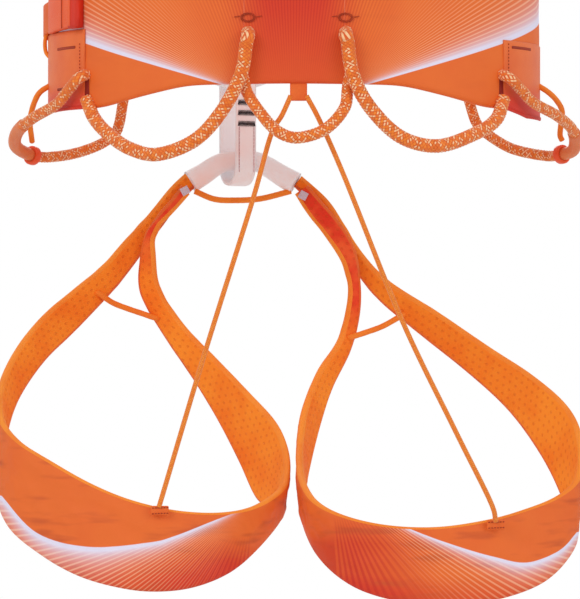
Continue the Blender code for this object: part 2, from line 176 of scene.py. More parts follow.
def even_points(points, count):
    """The smooth curve through the points, at evenly spaced places along its length."""
    fine = smooth_points(points, 16)
    along = lengths_along(fine)
    want = np.linspace(0, along[-1], count)
    return np.stack([np.interp(want, along, fine[:, k]) for k in range(3)], axis=1)


def unit(v):
    v = np.asarray(v, dtype=float)
    return v / np.linalg.norm(v, axis=-1, keepdims=True)


def clamp(value):
    return min(1.0, max(0.0, value))


def squarish(angle, power):
    """Cosine and sine of an angle, pushed outwards from a circle towards a rounded square."""
    c, s = math.cos(angle), math.sin(angle)
    return np.sign(c) * abs(c) ** power, np.sign(s) * abs(s) ** power


def put(name, mesh, material, body, replaces=()):
    """Links a finished mesh as a piece that rides on a body and takes one material or several."""
    piece = bpy.data.objects.new(name, mesh)
    bpy.context.scene.collection.objects.link(piece)
    for item in material if isinstance(material, tuple) else (material,):
        mesh.materials.append(item)
    if body:
        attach(piece, body)
    if replaces:
        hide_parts(*replaces)
    return piece


def grid_mesh(name, grid, uv, closed_rows=False, caps=False, material_of=None):
    """A mesh from a grid of points in millimetres: rows along the piece, closed columns round it."""
    grid = np.array(grid)
    rows, columns = grid.shape[:2]
    mesh = bpy.data.meshes.new(name)
    points = grid.reshape(-1, 3) * MM
    faces = []
    for i in range(rows if closed_rows else rows - 1):
        for j in range(columns):
            i2 = (i + 1) % rows
            j2 = (j + 1) % columns
            faces.append((i * columns + j, i * columns + j2, i2 * columns + j2, i2 * columns + j))
    side_faces = len(faces)
    if caps:
        faces.append(tuple(range(columns))[::-1])
        faces.append(tuple((rows - 1) * columns + j for j in range(columns)))
    mesh.from_pydata(points.tolist(), [], faces)
    layer = mesh.uv_layers.new(name="UVMap")
    corners = np.zeros(len(mesh.loops), dtype=np.int32)
    mesh.loops.foreach_get("vertex_index", corners)
    values = np.array(uv).reshape(-1, 2)[corners]
    fix_seam(mesh, values, corners, columns)
    layer.data.foreach_set("uv", values.astype(np.float32).ravel())
    if material_of is not None:
        for k in range(side_faces):
            mesh.polygons[k].material_index = material_of(k % columns)
    mesh.shade_smooth()
    return mesh


def fix_seam(mesh, values, corners, columns):
    """Lets the last strip of a closed tube run on to 1 instead of back to 0."""
    for polygon in mesh.polygons:
        span = range(polygon.loop_start, polygon.loop_start + polygon.loop_total)
        if polygon.loop_total != 4:
            continue
        places = [corners[k] % columns for k in span]
        if max(places) == columns - 1 and min(places) == 0:
            for k in span:
                if corners[k] % columns == 0:
                    values[k][1] += 1.0


def outwards(mesh):
    """Turns the faces of a closed mesh to face out."""
    bm = bmesh.new()
    bm.from_mesh(mesh)
    bmesh.ops.recalc_face_normals(bm, faces=bm.faces)
    bm.to_mesh(mesh)
    bm.free()
    return mesh


def flat_uv(mesh):
    """Cloth coordinates of a small piece, straight from its place."""
    layer = mesh.uv_layers.new(name="UVMap")
    for loop in mesh.loops:
        place = mesh.vertices[loop.vertex_index].co
        layer.data[loop.index].uv = (place.x + place.y, place.z)


def add_field(mesh, name, values):
    attribute = mesh.attributes.new(name, "FLOAT", "POINT")
    attribute.data.foreach_set("value", np.asarray(values, dtype=np.float32).ravel())


def tube_frames(path, start_up=(0.0, 0.3, 1.0)):
    """Directions across a path that don't twist along it."""
    along = unit(np.gradient(path, axis=0))
    first = unit(np.cross(along[0], start_up))
    frames = []
    for direction in along:
        first = unit(first - direction * np.dot(first, direction))
        frames.append((first, np.cross(direction, first)))
    return frames


# ---------------------------------------------------------------- materials


class Look:
    """A node material, built from the shader backwards."""

    def __init__(self, name, roughness=0.6, sheen=0.0, metallic=0.0):
        self.material = bpy.data.materials.new(name)
        self.material.use_nodes = True
        self.tree = self.material.node_tree
        self.shader = self.tree.nodes["Principled BSDF"]
        self.shader.inputs["Roughness"].default_value = roughness
        self.shader.inputs["Metallic"].default_value = metallic
        self.shader.inputs["Specular IOR Level"].default_value = 0.35
        self.shader.inputs["Sheen Weight"].default_value = sheen

    def node(self, kind):
        return self.tree.nodes.new("ShaderNode" + kind)

    def plug(self, socket, value):
        if hasattr(value, "links"):
            self.tree.links.new(value, socket)
        else:
            socket.default_value = value

    def math(self, operation, a, b=0.0, clamp=False):
        made = self.node("Math")
        made.operation = operation
        made.use_clamp = clamp
        self.plug(made.inputs[0], a)
        self.plug(made.inputs[1], b)
        return made.outputs[0]

    def mix(self, factor, a, b):
        made = self.node("Mix")
        made.data_type = "RGBA"
        self.plug(made.inputs[0], factor)
        self.plug(made.inputs[6], (*a, 1.0) if isinstance(a, tuple) else a)
        self.plug(made.inputs[7], (*b, 1.0) if isinstance(b, tuple) else b)
        return made.outputs[2]

    def field(self, name):
        made = self.node("Attribute")
        made.attribute_name = name
        return made.outputs["Fac"]

    def uv(self):
        made = self.node("UVMap")
        made.uv_map = "UVMap"
        split = self.node("SeparateXYZ")
        self.tree.links.new(made.outputs[0], split.inputs[0])
        return made.outputs[0], split.outputs[0], split.outputs[1]

    def noise(self, scale, detail=3.0, vector=None):
        made = self.node("TexNoise")
        made.inputs["Scale"].default_value = scale
        made.inputs["Detail"].default_value = detail
        if vector is None:
            place = self.node("TexCoord")
            vector = place.outputs["Object"]
        self.tree.links.new(vector, made.inputs["Vector"])
        return made.outputs["Fac"]

    def between(self, value, low, high):
        """0 below low, 1 above high, smooth between."""
        made = self.node("MapRange")
        made.interpolation_type = "SMOOTHSTEP"
        self.plug(made.inputs["Value"], value)
        made.inputs["From Min"].default_value = low
        made.inputs["From Max"].default_value = high
        return made.outputs["Result"]

    def colour(self, value):
        self.plug(self.shader.inputs["Base Color"], (*value, 1.0) if isinstance(value, tuple) else value)

    def bump(self, height, strength, distance):
        made = self.node("Bump")
        made.inputs["Strength"].default_value = strength
        made.inputs["Distance"].default_value = distance
        self.tree.links.new(height, made.inputs["Height"])
        self.tree.links.new(made.outputs[0], self.shader.inputs["Normal"])


def srgb(r, g, b):
    """A colour as seen on screen, as linear light."""
    return tuple((c / 255 / 12.92) if c <= 10 else ((c / 255 + 0.055) / 1.055) ** 2.4 for c in (r, g, b))


ORANGE = srgb(238, 114, 40)
DEEP_ORANGE = srgb(218, 58, 26)
CRIMSON = srgb(196, 36, 22)
PALE = srgb(255, 190, 145)
LAVENDER = srgb(232, 226, 246)


def weave_height(look, size):
    """Plain weave from two crossing waves along the cloth's own coordinates, in metres."""
    _, u, v = look.uv()
    turns = 2 * math.pi / size
    warp = look.math("SINE", look.math("MULTIPLY", u, turns))
    weft = look.math("SINE", look.math("MULTIPLY", v, turns))
    return look.math("MULTIPLY", warp, weft)


def printed_cloth():
    """Shell cloth: orange with a pale streak, fine rays above it and a red fan.

    The fields are worked out on the meshes: above is the distance over the streak's sharp
    edge, reach is how far its white fades, ray and fan count lines, fan_depth and red deepen
    the ground, the crease shade field darkens slanted creases with painted shade, and ink is 0
    where the streak and rays are left out.
    """
    look = Look("printed_shell_cloth", roughness=0.6)
    above = look.field("above")
    reach = look.field("reach")
    ground = look.mix(look.field("red"), ORANGE, DEEP_ORANGE)
    cloud = look.between(look.noise(28.0, 4.0), 0.3, 0.75)
    ground = look.mix(look.math("MULTIPLY", cloud, 0.16), ground, DEEP_ORANGE)
    # Painted shade: slanted creases darkened towards srgb(196, 80, 34), as strongly as the crease shade
    # field allows.
    crease = look.node("Mapping")
    crease.inputs["Rotation"].default_value = (0.0, 0.5, 0.0)
    crease.inputs["Scale"].default_value = (26.0, 40.0, 150.0)
    place = look.node("TexCoord")
    look.tree.links.new(place.outputs["Object"], crease.inputs["Vector"])
    crease_shade = look.between(look.noise(1.0, 2.0, crease.outputs[0]), 0.52, 0.78)
    crease_shade = look.math("MULTIPLY", crease_shade, look.field("crease_shade"))
    ground = look.mix(crease_shade, ground, srgb(196, 80, 34))
    fan_wave = look.math("SINE", look.math("MULTIPLY", look.field("fan"), 2 * math.pi))
    fan = look.math("MULTIPLY", look.between(fan_wave, -0.7, 0.9), look.field("fan_depth"))
    ground = look.mix(fan, ground, CRIMSON)
    edge = look.math("MULTIPLY", look.between(above, -0.2, 0.35), look.field("ink"))
    past = look.math("MAXIMUM", look.math("SUBTRACT", above, look.math("MULTIPLY", reach, 0.35)), 0.0)
    fade = look.math("POWER", math.e, look.math("DIVIDE", look.math("MULTIPLY", past, -1.25), reach))
    white = look.math("MULTIPLY", edge, fade, clamp=True)
    far_reach = look.math("MULTIPLY", reach, 6.5)
    falling = look.math("DIVIDE", look.math("MULTIPLY", above, -1.0), far_reach)
    strong = look.math("MULTIPLY", edge, look.math("POWER", math.e, falling))
    ray_wave = look.math("SINE", look.math("MULTIPLY", look.field("ray"), 2 * math.pi))
    rays = look.math("MULTIPLY", look.between(ray_wave, 0.1, 0.95), strong, clamp=True)
    ground = look.mix(look.math("MULTIPLY", rays, 0.9), ground, PALE)
    ground = look.mix(white, ground, LAVENDER)
    look.colour(ground)
    weave = look.math("MULTIPLY", weave_height(look, FINE_WEAVE), 0.35)
    look.bump(look.math("ADD", weave, look.noise(160.0, 4.0)), 0.16, 0.0006)
    return look.material


def plain_cloth(name, colour, shade, weave=FINE_WEAVE, roughness=0.65, strength=0.25):
    """Cloth of two near colours in soft clouds, with a plain weave."""
    look = Look(name, roughness=roughness)
    look.colour(look.mix(look.between(look.noise(45.0, 4.0), 0.25, 0.8), colour, shade))
    look.bump(look.math("ADD", weave_height(look, weave), look.noise(220.0, 3.0)), strength, 0.0005)
    return look.material


def lining_cloth():
    """Lining: soft orange knit with staggered rows of small dimples, darkened in their hollows with
    painted shade.
    """
    look = Look("lining_knit", roughness=0.85)
    _, u, v = look.uv()
    pitch = 0.0056
    row = look.math("DIVIDE", v, pitch * 0.87)
    shift = look.math("MULTIPLY", look.math("MODULO", look.math("FLOOR", row), 2.0), 0.5)
    column = look.math("ADD", look.math("DIVIDE", u, pitch), shift)
    dx = look.math("SUBTRACT", look.math("FRACT", column), 0.5)
    dy = look.math("SUBTRACT", look.math("FRACT", row), 0.5)
    square = look.math("ADD", look.math("MULTIPLY", dx, dx), look.math("MULTIPLY", dy, dy))
    dimple = look.math("SUBTRACT", 1.0, look.between(look.math("SQRT", square), 0.09, 0.24))
    cloud = look.between(look.noise(30.0, 3.0), 0.3, 0.75)
    base = look.mix(cloud, srgb(255, 144, 34), srgb(247, 116, 18))
    crease = look.between(look.noise(70.0, 2.0), 0.35, 0.7)
    blush = look.mix(crease, srgb(232, 58, 30), srgb(244, 96, 44))
    base = look.mix(look.field("blush"), base, blush)
    # Painted shade: each dimple's hollow is darkened towards srgb(214, 78, 10).
    look.colour(look.mix(look.math("MULTIPLY", dimple, 0.3), base, srgb(214, 78, 10)))
    depth = look.math("SUBTRACT", look.noise(300.0, 3.0), look.math("MULTIPLY", dimple, 1.6))
    look.bump(depth, 0.45, 0.0007)
    return look.material


def braid_cloth(name, base, dark, fleck, fleck_share, braid):
    """Braided cord: strands in two crossing spirals, some of them pale, with painted shade in the
    grooves between them.
    """
    look = Look(name, roughness=0.55, sheen=0.25)
    _, u, v = look.uv()
    strands, pitch = braid
    pitch *= MM
    step = look.math("DIVIDE", u, pitch / strands)
    around = look.math("MULTIPLY", v, strands)
    right = look.math("ADD", step, around)
    left = look.math("SUBTRACT", step, around)
    cells = look.node("CombineXYZ")
    look.plug(cells.inputs[0], look.math("FLOOR", right))
    look.plug(cells.inputs[1], look.math("FLOOR", left))
    chance = look.node("TexWhiteNoise")
    look.tree.links.new(cells.outputs[0], chance.inputs["Vector"])
    parity = look.math("ABSOLUTE", look.math("MODULO", look.math("FLOOR", right), 2.0))
    dx = look.math("ABSOLUTE", look.math("SUBTRACT", look.math("FRACT", right), 0.5))
    dy = look.math("ABSOLUTE", look.math("SUBTRACT", look.math("FRACT", left), 0.5))
    rest = look.math("SUBTRACT", 1.0, parity)
    off_line = look.math("ADD", look.math("MULTIPLY", dx, parity), look.math("MULTIPLY", dy, rest))
    stroke = look.math("SUBTRACT", 1.0, look.between(off_line, 0.2, 0.32))
    chosen = look.math("GREATER_THAN", chance.outputs["Value"], 1.0 - fleck_share)
    pale = look.math("MULTIPLY", chosen, stroke)
    edge = look.math("MAXIMUM", dx, dy)
    groove = look.between(edge, 0.34, 0.5)
    tone = look.mix(chance.outputs["Value"], base, dark)
    tone = look.mix(pale, tone, fleck)
    # Painted shade: the grooves between the strands are darkened towards the dark tone.
    look.colour(look.mix(look.math("MULTIPLY", groove, 0.6), tone, dark))
    look.bump(look.math("SUBTRACT", 1.0, groove), 0.5, 0.0005)
    return look.material


def white_webbing(name, glow_tint):
    """White tubular webbing with a ribbed weave and painted light: a faint warm pink glow in soft
    clouds.
    """
    look = Look(name, roughness=0.5, sheen=0.3)
    _, u, v = look.uv()
    ribs = look.math("SINE", look.math("MULTIPLY", v, 2 * math.pi / 0.0011))
    cross = look.math("SINE", look.math("MULTIPLY", u, 2 * math.pi / 0.0009))
    # Painted light: soft clouds of the warm pink tint over the white.
    painted_glow = look.between(look.noise(26.0, 2.0), 0.45, 0.75)
    look.colour(look.mix(painted_glow, srgb(253, 251, 254), glow_tint))
    look.bump(look.math("ADD", ribs, look.math("MULTIPLY", cross, 0.5)), 0.22, 0.0004)
    return look.material


def patch_cloth():
    """Patch cloth: orange above, running to red at its lower end."""
    look = Look("patch_cloth", roughness=0.5, sheen=0.1)
    place = look.node("TexCoord")
    split = look.node("SeparateXYZ")
    look.tree.links.new(place.outputs["Object"], split.inputs[0])
    low = look.between(look.math("MULTIPLY", split.outputs[2], -1.0), 0.050, 0.066)
    ground = look.mix(look.between(look.noise(60.0), 0.3, 0.8), srgb(240, 114, 46), srgb(232, 100, 36))
    look.colour(look.mix(low, ground, srgb(222, 58, 38)))
    look.bump(look.math("ADD", weave_height(look, FINE_WEAVE), look.noise(200.0, 3.0)), 0.15, 0.0005)
    return look.material


def metal_finish():
    """Brushed grey metal with a fine grain in its gloss."""
    look = Look("anodised_buckle", roughness=0.3, metallic=1.0)
    grain = look.noise(400.0, 2.0)
    look.colour(look.mix(grain, srgb(150, 152, 158), srgb(196, 198, 204)))
    look.plug(look.shader.inputs["Roughness"], look.math("ADD", look.math("MULTIPLY", grain, 0.2), 0.22))
    return look.material


PRINT = printed_cloth()
LINING = lining_cloth()
EDGE = plain_cloth("edge_binding", srgb(255, 150, 46), srgb(248, 130, 34))
TRIM = plain_cloth("orange_trim_cloth", srgb(240, 112, 42), srgb(230, 92, 28))
SALMON = plain_cloth("keeper_cloth", srgb(246, 104, 56), srgb(240, 90, 44), roughness=0.45)
RED = plain_cloth("red_fold_cloth", srgb(226, 52, 26), srgb(200, 36, 20), roughness=0.45)
ROPE = braid_cloth("gear_cord_braid", srgb(252, 138, 36), srgb(226, 84, 18), srgb(255, 204, 152),
                   0.42, THICK_STRANDS)
CORD = braid_cloth("thin_cord_braid", srgb(250, 144, 36), srgb(234, 108, 20), srgb(254, 158, 52),
                   0.4, THIN_STRANDS)
SLEEVE = plain_cloth("smooth_sleeve", srgb(238, 138, 84), srgb(226, 108, 54), weave=TIGHT_WEAVE,
                     roughness=0.35)
WHITE = white_webbing("belay_webbing", srgb(255, 238, 238))
TIE_IN_CLOTH = white_webbing("tie_in_webbing", srgb(255, 226, 220))
INK = plain_cloth("bar_tack_thread", srgb(48, 26, 46), srgb(26, 12, 26), weave=0.0007, roughness=0.7)
THREAD = plain_cloth("orange_thread", srgb(196, 66, 22), srgb(176, 50, 18), weave=TIGHT_WEAVE)
LABEL = plain_cloth("woven_label", srgb(222, 206, 216), srgb(190, 176, 196), weave=0.0007)
# Dark red for a painted shadow on the belt.
SHADOW = plain_cloth("painted_patch_shadow", srgb(158, 40, 24), srgb(132, 28, 18))
METAL = metal_finish()
PATCH = patch_cloth()
# Dark thread for stitches; on the tool slots the same colour is painted shade in their openings.
DARK_THREAD_AND_SLOT_SHADE = plain_cloth("dark_thread_and_slot_shade", srgb(178, 60, 28), srgb(150, 44, 20))
SEAM = plain_cloth("seam_thread", srgb(190, 70, 84), srgb(150, 40, 60))
RING = plain_cloth("separator_rubber", srgb(244, 92, 44), srgb(232, 74, 30), roughness=0.35,
                   strength=0.05)
SMOOTH_CORD = plain_cloth("smooth_cord", srgb(250, 142, 38), srgb(238, 114, 24), weave=TIGHT_WEAVE,
                          strength=0.12)
THICK_BRAID = (ROPE, THICK_STRANDS)
THIN_BRAID = (CORD, THIN_STRANDS)
SMOOTH_BRAID = (SMOOTH_CORD, SMOOTH_STRANDS)

# ---------------------------------------------------------------- where the pieces run

# Edge pairs (upper, lower) of the left leg band, from the outer end at the tie-in, round the
# outside and the back of the thigh, up the inside to the inner end. The inside runs 2 to 3 mm
# nearer the middle than the fixed part does, so that the two legs nearly touch.
LEFT_LEG = [
    ((69, -107, -99), (62, -107, -108)),
    ((80, -106, -109), (73, -107, -118)),
    ((92, -106, -124), (84, -107, -133)),
    ((106, -100, -139), (97, -105, -149)),
    ((124, -86, -160), (113, -94, -171)),
    ((141, -71, -175), (127, -82, -187)),
    ((158, -55, -190), (144, -69, -205)),
    ((172, -34, -208), (160, -48, -222)),
    ((181, -10, -227), (174, -20, -245)),
    ((183, 14, -243), (180, 8, -268)),
    ((178, 34, -256), (182, 30, -295)),
    ((166, 51, -267), (173, 50, -318)),
    ((148, 64, -277), (152, 65, -334)),
    ((125, 76, -289), (130, 77, -345)),
    ((103, 83, -298), (108, 85, -351)),
    ((81, 86, -304), (85, 88, -354)),
    ((62, 84, -307), (60, 86, -352)),
    ((42, 76, -308), (37, 74, -344)),
    ((24, 62, -306), (21, 54, -332)),
    ((9, 44, -299), (9, 30, -319)),
    ((2.4, 22, -291), (6.5, 2, -312)),
    ((2.4, 0, -275), (19.5, -26, -308)),
    ((10, -20, -258), (32, -46, -284)),
    ((28, -40, -239), (46, -61, -258)),
    ((48, -60, -219), (62, -73, -233)),
    ((68, -73, -199), (83, -83, -203)),
    ((84, -82, -176), (98, -89, -177)),
    ((88, -91, -156), (98, -95, -157)),
    ((88, -95, -141), (96, -98, -143)),
    ((82, -98, -131), (88, -99, -128)),
    ((74, -99, -122), (78, -99, -116)),
    ((66, -99, -113), (72, -99, -107)),
]

# The same for the right leg band, which the belay point's sideways shift makes wider.
RIGHT_LEG = [
    ((-4, -107, -101), (1, -107, -108)),
    ((-22, -106, -117), (-15, -107, -124)),
    ((-34, -106, -135), (-27, -107, -141)),
    ((-46, -101, -153), (-40, -105, -162)),
    ((-64, -90, -171), (-56, -97, -182)),
    ((-92, -75, -189), (-82, -84, -204)),
    ((-125, -52, -212), (-112, -66, -228)),
    ((-150, -29, -229), (-137, -43, -252)),
    ((-170, -5, -248), (-155, -14, -279)),
    ((-177, 16, -267), (-166, 12, -303)),
    ((-174, 37, -288), (-172, 36, -325)),
    ((-160, 53, -299), (-163, 54, -340)),
    ((-140, 66, -306), (-146, 68, -352)),
    ((-116, 77, -312), (-118, 79, -360)),
    ((-85, 84, -316), (-85, 86, -362)),
    ((-55, 84, -315), (-57, 86, -359)),
    ((-29, 77, -310), (-32, 78, -351)),
    ((-12, 62, -303), (-14, 60, -337)),
    ((-4, 44, -294), (-5, 36, -320)),
    ((-1, 20, -284), (-3, 6, -306)),
    ((-1, -6, -270), (-5, -26, -292)),
    ((-4, -30, -250), (-12, -47, -266)),
    ((-14, -54, -226), (-21, -64, -240)),
    ((-26, -70, -209), (-34, -78, -215)),
    ((-32, -82, -190), (-41, -87, -192)),
    ((-34, -89, -174), (-42, -93, -171)),
    ((-29, -94, -156), (-40, -97, -153)),
    ((-18, -98, -139), (-32, -99, -136)),
    ((-8, -99, -126), (-21, -99, -122)),
    ((0, -99, -113), (-8, -99, -107)),
]

# Routes of the cords, chosen along their real way.
GEAR_FRONT_LEFT = [(128, 64, -50), (135, 57, -57), (143, 48, -65), (158, 30, -72), (169, 10, -79),
                   (172, -9, -87), (164, -24, -92), (154, -34, -93), (138, -48, -90), (123, -58, -84),
                   (114, -64, -77), (111, -67, -70)]
GEAR_FRONT_RIGHT = [(-128, 64, -50), (-136, 56, -57), (-144, 47, -64), (-160, 28, -71), (-171, 8, -79),
                    (-173, -11, -89), (-165, -24, -92), (-156, -33, -92), (-137, -46, -87),
                    (-122, -58, -77), (-116, -65, -70)]
GEAR_REAR_LEFT = [(27, 109, -21), (28, 109, -34), (31, 109, -51), (42, 107, -72), (58, 103, -89),
                  (80, 96, -97), (97, 86, -93), (110, 75, -84), (119, 66, -74)]
GEAR_REAR_RIGHT = [(-30, 109, -21), (-31, 109, -32), (-34, 109, -51), (-44, 107, -70), (-62, 102, -87),
                   (-84, 94, -92), (-107, 80, -84), (-120, 69, -75)]
GEAR_REAR_CENTRE = [(28, 103, -60), (20, 107, -73), (10, 110, -84), (-2, 111, -88), (-18, 110, -83),
                    (-29, 107, -71), (-31, 103, -60)]
RISER_LEFT = [(3, 102, -68), (7, 101, -74), (14, 100, -87), (25, 98, -126), (52, 94, -212),
              (79, 90, -299)]
RISER_RIGHT = [(-8, 102, -68), (-15, 101, -78), (-30, 99, -112), (-63, 96, -194), (-94, 92, -258),
               (-115, 87, -300), (-118, 86, -308)]
ELASTIC_LEFT = [(124.4, -76.5, -178.3), (116, -80, -184), (106, -82.5, -188),
                (97, -81, -191), (88.4, -77.7, -193.8)]
ELASTIC_RIGHT = [(-36.5, -72.6, -205.9), (-46, -78, -203), (-57, -82, -199), (-69.4, -82.8, -192.1)]
BRIDGE = [(58, -101, -114), (52, -100, -117), (40, -99, -118), (22, -99, -117), (8, -101, -114)]
SEPARATOR_LEFT = [(155, 12, -55), (159, 8, -61), (162, 0, -69), (163, -9, -75), (163, -17, -80)]
SEPARATOR_RIGHT = [(-155, 12, -55), (-161, 6, -60), (-165, -2, -66), (-165, -11, -74), (-165, -17, -80)]
ARCH = [(59, -106, -101), (48, -108, -94), (36, -109, -92), (23, -108, -93), (8, -106, -101)]
UPPER_TIE = [(60, -100, -33), (50, -107, -38), (37, -109, -41), (24, -109, -39), (12, -105, -33)]

# ---------------------------------------------------------------- padded bands


def band_section(width, thick, columns):
    """Points round a padded band's section: distance across from the middle, depth, and kind.

    Kinds: 0 outer cloth, 1 edge binding, 2 lining, 3 outer cloth that turns over an edge.
    The section starts at the upper edge of the outer face.
    """
    radius = thick / 2
    reach = width / 2 - radius
    section = []
    for t in np.linspace(1, -1, columns):
        crown = 0.35 * (1 - t ** 6)
        section.append((reach * t, -crown, 0))
    for a in np.linspace(0, math.pi, 8)[1:-1]:
        section.append((-reach - radius * math.sin(a), radius - radius * math.cos(a), 3))
    for t in np.linspace(-1, 1, columns // 2):
        section.append((reach * t, thick + 0.25 * (1 - t ** 6), 2))
    for a in np.linspace(math.pi, 0, 8)[1:-1]:
        kind = 1 if a > 0.7 else 3
        section.append((reach + radius * math.sin(a), radius - radius * math.cos(a), kind))
    return section


def crumple(point, size, depth, seed):
    """A soft fold height at a point, in millimetres."""
    place = Vector((point[0] / size + seed, point[1] / size, point[2] / size))
    return depth * (noise.noise(place) + 0.5 * noise.noise(place * 2.3))


def padded_band(name, upper, lower, outward, thick, columns, fold, looks, body, replaces):
    """A padded cloth band between two edge lines, with a printed face, bound edges and a lining."""
    middle = (upper + lower) / 2
    along = lengths_along(middle)
    across = upper - lower
    width = np.linalg.norm(across, axis=1)
    across = across / width[:, None]
    grid = []
    uv = []
    for i in range(len(middle)):
        section = band_section(width[i], thick, columns)
        row = []
        coordinates = []
        for place, depth, kind in section:
            point = middle[i] + across[i] * place - outward[i] * depth
            room = 1 - min(1.0, abs(place) / (width[i] / 2)) ** 4
            if kind == 0:
                point = point + outward[i] * fold(point, along[i]) * room
            if kind == 2:
                point = point - outward[i] * abs(crumple(point, 9.0, 0.5, 7.0)) * room
            row.append(point)
            coordinates.append((along[i] * MM, place * MM))
        grid.append(row)
        uv.append(coordinates)
    kinds = [kind for _, _, kind in section]
    around = len(kinds)

    def material_of(column):
        a = kinds[column]
        b = kinds[(column + 1) % around]
        if 1 in (a, b):
            return 1
        return 2 if a == b == 2 else 0

    mesh = grid_mesh(name, grid, uv, caps=True, material_of=material_of)
    return put(name, outwards(mesh), looks, body, replaces), grid, along


def print_fields(mesh, values):
    """Stores the numbers that the printed cloth reads, one set for each vertex."""
    for name in ("above", "reach", "ray", "fan", "fan_depth", "red", "crease_shade", "ink"):
        add_field(mesh, name, [v[name] for v in values])


def belt_normal(angle_deg):
    """Direction out of the waist ring at an angle."""
    a = math.radians(angle_deg)
    normal = np.array([WAIST_HALF_DEPTH * math.cos(a), WAIST_HALF_WIDTH * math.sin(a), 0.0])
    return normal / np.linalg.norm(normal)


def belt_point(angle_deg, height, out=0.0):
    """A point on the waist ring, moved outwards along the ring's normal."""
    a = math.radians(angle_deg)
    ring = np.array([WAIST_HALF_WIDTH * math.cos(a), WAIST_HALF_DEPTH * math.sin(a), height])
    return ring + belt_normal(angle_deg) * out


def belt_lower(angle_deg):
    """Height of the belt's lower edge, by the angle from the middle of the back."""
    from_back = abs(angle_deg - 90.0)
    return float(np.interp(from_back, [0, 25, 50, 85, 115, 142], [-56, -56.5, -68, -68, -54, -40]))


def belt_upper(angle_deg):
    """Height of the belt's upper edge, by the angle from the middle of the back."""
    from_back = abs(angle_deg - 90.0)
    return float(np.interp(from_back, [0, 30, 60, 90, 115, 142], [44, 43, 36, 24, 12, 4]))


def smooth_profile(values, steps):
    """Rounds the corners of a list of heights."""
    kernel = np.hanning(steps)
    padded = np.pad(values, steps // 2, mode="edge")
    return np.convolve(padded, kernel / kernel.sum(), mode="valid")[:len(values)]


def belt_print(point, along_back):
    """Print on the belt: the sharp edge of the streak climbs away from the middle of the back."""
    side = abs(along_back)
    height = point[2]
    edge = -57.0 + 0.29 * (side - 41.0)
    from_start = max(side - 30.0, 2.0)
    ray = math.degrees(math.atan2(height + 60.0, from_start)) / 1.35 + 0.012 * side
    fan = math.degrees(math.atan2(along_back, height + 130.0)) / 0.84
    core = clamp((46.0 - side) / 34.0)
    core = core * core * (3 - 2 * core)
    spread = max(0.0, 1.0 - (side / 66.0) ** 2)
    top = clamp((height + 56.0) / 50.0)
    return {"above": height - edge if side > 30 else -5.0,
            "reach": 0.4 + 0.062 * max(side - 33.0, 0.0),
            "ray": ray,
            "fan": fan,
            "fan_depth": spread * (0.12 + 0.5 * top),
            "red": min(1.0, core * (0.5 + 0.5 * top) + 0.06),
            # Painted shade in the belt's creases is faint.
            "crease_shade": 0.08,
            "ink": 1.0}


def build_belt():
    """The waist belt is one padded band, from one end at the front, round the back, to the other."""
    angles = np.linspace(*BELT_ENDS, 470)
    upper = smooth_profile(np.array([belt_upper(a) for a in angles]), 25)
    lower = smooth_profile(np.array([belt_lower(a) for a in angles]), 25)
    normals = np.array([belt_normal(a) for a in angles])
    top = np.array([belt_point(a, z) for a, z in zip(angles, upper)])
    bottom = np.array([belt_point(a, z) for a, z in zip(angles, lower)])

    def fold(point, along):
        return crumple(point, 26.0, 0.45, 3.0)

    covered = ("belt_shell", "belt_lining", "belt_load_tape")
    piece, grid, along = padded_band("belt_band", top, bottom, normals, BELT_THICK, 56, fold,
                                     (PRINT, PRINT, LINING), "waist_belt", covered)
    back = np.interp(90.0, angles, along)
    values = []
    for i, row in enumerate(grid):
        values += [belt_print(point, back - along[i]) for point in row]
    print_fields(piece.data, values)


def leg_lines(stations, steps):
    """Smooth edge lines of a leg band, its outward normals, at even steps along its length."""
    upper = smooth_points([u for u, _ in stations], steps)
    lower = smooth_points([v for _, v in stations], steps)
    middle = (upper + lower) / 2
    along = lengths_along(middle)
    want = np.linspace(0, along[-1], int(along[-1] / 1.3))

    def even(points):
        return np.stack([np.interp(want, along, points[:, k]) for k in range(3)], axis=1)

    upper, lower = even(upper), even(lower)
    for line in (upper, lower):
        for k in range(3):
            line[:, k] = smooth_profile(line[:, k], 17)
    middle = (upper + lower) / 2
    normal = np.cross(np.gradient(middle, axis=0), upper - lower)
    normal = unit(normal)
    if np.einsum("ij,ij->i", normal, middle - middle.mean(axis=0)).sum() < 0:
        normal = -normal
    return upper, lower, normal


# Points (x, height) along the sharp edge of each leg's streak, from left to right.
STREAK_POINTS = {
    "left": ((20, -304), (43, -311), (70, -321), (86, -325), (122, -328), (153, -321), (176, -300)),
    "right": ((-170, -322), (-158, -332), (-138, -338), (-118, -334), (-95, -327), (-68, -317),
              (-30, -300)),
}
STREAKS = {side: smooth_points([(x, 0, z) for x, z in points], 8)
           for side, points in STREAK_POINTS.items()}

# The print of each leg, in millimetres out from the middle and heights: where the rays start;
# the greatest reach of the white, where it begins and how far it grows; the middle, half width,
# height and depth of the red; the height of the red at the lower edge; where the ink starts.
LEG_PRINTS = {
    "left": {"sign": 1, "rays": (24, -300), "white": (6.2, 25, 90), "red": (40, 55, -322, 14),
             "base": -334, "ink": 30},
    "right": {"sign": -1, "rays": (22, -290), "white": (4.2, 50, 80), "red": (35, 50, -308, 18),
              "base": -344, "ink": 34},
}

# Height below the waist, in millimetres, where the red of the inner limbs' lining ends.
BLUSH_END = {"left": 168.0, "right": 214.0}


